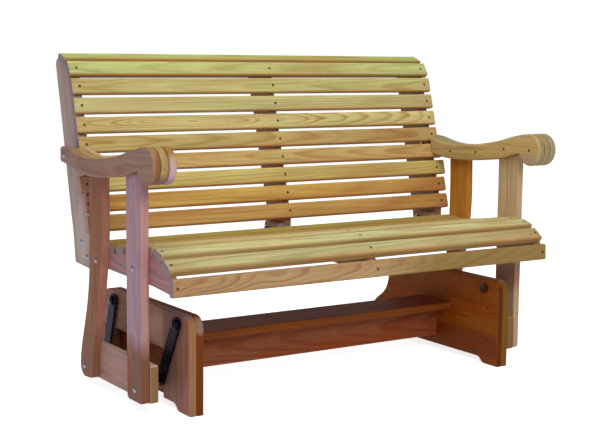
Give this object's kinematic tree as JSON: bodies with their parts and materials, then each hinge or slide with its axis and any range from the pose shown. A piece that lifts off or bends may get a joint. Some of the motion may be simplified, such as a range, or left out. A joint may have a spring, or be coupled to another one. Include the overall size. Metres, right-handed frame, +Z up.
{
  "type": "glider bench",
  "caption": "Slatted wooden porch bench with a rolled back and scroll arms, hung on steel straps inside a low base so that the seat glides forward and back.",
  "frame": {"origin": "centre of the footprint of the whole bench on the floor", "axes": "+X along the seat towards the left hand of someone who faces the bench from behind, -Y out of the front of the seat, +Z up"},
  "size_m": [1.292, 0.6908, 0.8892],
  "materials": {
    "back_slats": "oiled",
    "seat_slats": "oiled",
    "frame_wood": "oiled",
    "base_wood": "oiled",
    "strap_steel": "satin",
    "bolt_steel": "satin"
  },
  "bodies": {
    "base": {"base_front_leg_left": "base_wood", "base_front_leg_right": "base_wood", "base_panel_left": "base_wood", "base_panel_right": "base_wood", "base_rear_leg_left": "base_wood", "base_rear_leg_right": "base_wood", "base_top_rail_left": "base_wood", "base_top_rail_right": "base_wood", "pivot_bolts": "bolt_steel", "pivot_spacers": "bolt_steel", "stretcher_board": "base_wood", "stretcher_web": "base_wood"},
    "carriage": {"arm_board_inner_left": "frame_wood", "arm_board_inner_right": "frame_wood", "arm_board_middle_left": "frame_wood", "arm_board_middle_right": "frame_wood", "arm_board_outer_left": "frame_wood", "arm_board_outer_right": "frame_wood", "back_slat_01": "back_slats", "back_slat_02": "back_slats", "back_slat_03": "back_slats", "back_slat_04": "back_slats", "back_slat_05": "back_slats", "back_slat_06": "back_slats", "back_slat_07": "back_slats", "back_slat_08": "back_slats", "back_slat_09": "back_slats", "back_slat_10": "back_slats", "back_upright_center": "frame_wood", "back_upright_left": "frame_wood", "back_upright_right": "frame_wood", "bottom_rail_left": "frame_wood", "bottom_rail_right": "frame_wood", "coach_bolts": "bolt_steel", "front_post_left": "frame_wood", "front_post_right": "frame_wood", "rear_post_left": "frame_wood", "rear_post_right": "frame_wood", "seat_cross_rail": "frame_wood", "seat_gusset_left": "frame_wood", "seat_gusset_right": "frame_wood", "seat_slat_01": "seat_slats", "seat_slat_02": "seat_slats", "seat_slat_03": "seat_slats", "seat_slat_04": "seat_slats", "seat_slat_05": "seat_slats", "seat_slat_06": "seat_slats", "seat_slat_07": "seat_slats", "seat_slat_08": "seat_slats", "seat_slat_09": "seat_slats", "seat_stringer_center": "frame_wood", "seat_stringer_left": "frame_wood", "seat_stringer_right": "frame_wood", "swing_bolts": "bolt_steel"},
    "link_front_left": {"link_front_left": "strap_steel"},
    "link_front_right": {"link_front_right": "strap_steel"},
    "link_rear_left": {"link_rear_left": "strap_steel"},
    "link_rear_right": {"link_rear_right": "strap_steel"}
  },
  "joints": [
    {"name": "swing_front_left", "type": "hinge", "parent": "base", "child": "link_front_left", "pos_m": [-0.528, -0.22256, 0.224], "axis": [1, 0, 0], "range_deg": [-30, 5]},
    {"name": "carriage_hang", "type": "hinge", "parent": "link_front_left", "child": "carriage", "pos_m": [-0.528, -0.1404, 0.06948], "axis": [1, 0, 0], "range_deg": [-5.6, 33]},
    {"name": "swing_front_right", "type": "hinge", "parent": "base", "child": "link_front_right", "pos_m": [0.528, -0.22256, 0.224], "axis": [1, 0, 0], "range_deg": [-30, 5]},
    {"name": "swing_rear_left", "type": "hinge", "parent": "base", "child": "link_rear_left", "pos_m": [-0.528, 0.14544, 0.224], "axis": [1, 0, 0], "range_deg": [-30, 5]},
    {"name": "swing_rear_right", "type": "hinge", "parent": "base", "child": "link_rear_right", "pos_m": [0.528, 0.14544, 0.224], "axis": [1, 0, 0], "range_deg": [-30, 5]}
  ],
  "couplings": [
    {"joint": "carriage_hang", "follows": "swing_front_left", "ratio": -1.0944},
    {"joint": "swing_front_right", "follows": "swing_front_left", "ratio": 1},
    {"joint": "swing_rear_left", "follows": "swing_front_left", "ratio": 0.9629},
    {"joint": "swing_rear_right", "follows": "swing_front_left", "ratio": 0.9629}
  ]
}
